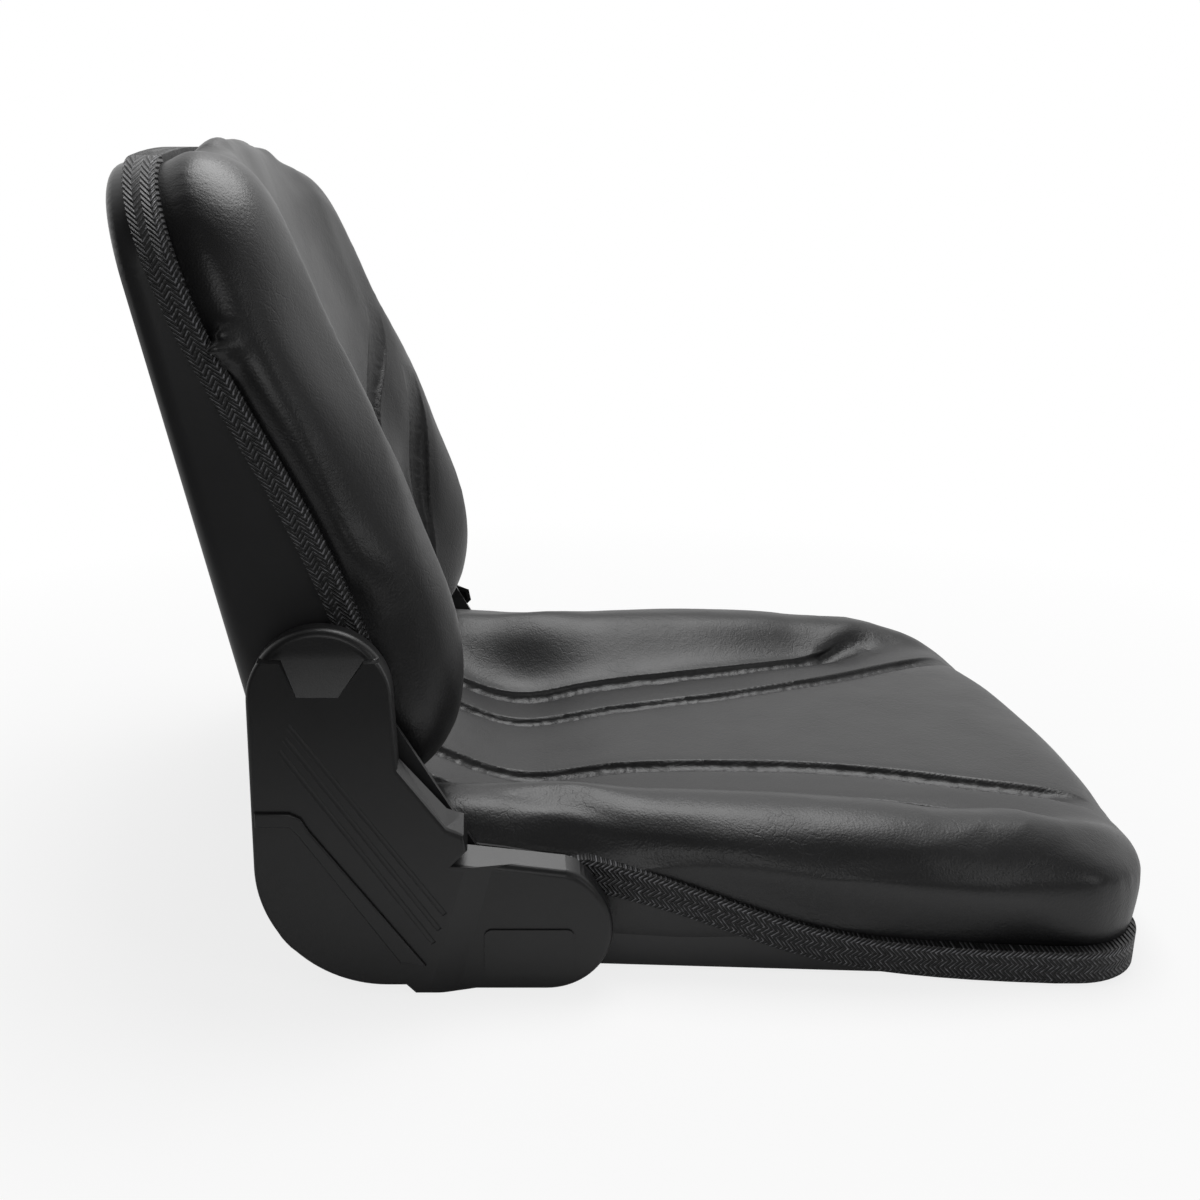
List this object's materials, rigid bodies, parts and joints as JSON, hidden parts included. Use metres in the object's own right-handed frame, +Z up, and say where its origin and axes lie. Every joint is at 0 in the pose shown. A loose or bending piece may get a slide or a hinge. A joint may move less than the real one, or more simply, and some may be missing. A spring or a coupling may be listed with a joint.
{
  "type": "tractor seat",
  "caption": "Fold-down tractor seat: padded seat and backrest with grooved panels and braided edges on a steel pan, hinged behind moulded side covers.",
  "frame": {"origin": "centre of the four mounting nuts, on the underside of the seat pan", "axes": "+X forwards, +Y to the sitter's left, +Z up"},
  "size_m": [0.57, 0.474, 0.4464],
  "materials": {
    "leathercloth": "satin",
    "braid": "matte",
    "painted_steel": "satin",
    "cover_plastic": "matte",
    "zinc_steel": "satin",
    "bush_nylon": "matte"
  },
  "bodies": {
    "seat": {"seat_pan": "painted_steel", "mount_nuts": "zinc_steel", "seat_cushion": "leathercloth", "seat_edge_trim": "braid", "side_cover_right": "cover_plastic", "side_cover_left": "cover_plastic", "cover_screws_right": "zinc_steel", "cover_screws_left": "zinc_steel", "hinge_bracket_right": "painted_steel", "hinge_bracket_left": "painted_steel", "bracket_bolts_right": "zinc_steel", "bracket_bolts_left": "zinc_steel", "bracket_nuts_right": "zinc_steel", "bracket_nuts_left": "zinc_steel", "pivot_bush_right": "bush_nylon", "pivot_bush_left": "bush_nylon", "stop_pin_right": "zinc_steel", "stop_pin_left": "zinc_steel"},
    "backrest": {"backrest_shell": "painted_steel", "backrest_cushion": "leathercloth", "backrest_edge_trim": "braid", "backrest_arm_right": "painted_steel", "backrest_arm_left": "painted_steel", "pivot_washer_right": "zinc_steel", "pivot_washer_left": "zinc_steel", "pivot_bolt_right": "zinc_steel", "pivot_bolt_left": "zinc_steel", "pivot_nut_right": "zinc_steel", "pivot_nut_left": "zinc_steel", "stop_stud_right": "zinc_steel", "stop_stud_left": "zinc_steel"}
  },
  "joints": [
    {"name": "backrest_fold", "type": "hinge", "parent": "seat", "child": "backrest", "pos_m": [-0.19, 0, 0.164], "axis": [0, 1, 0], "range_deg": [0, 75]}
  ]
}
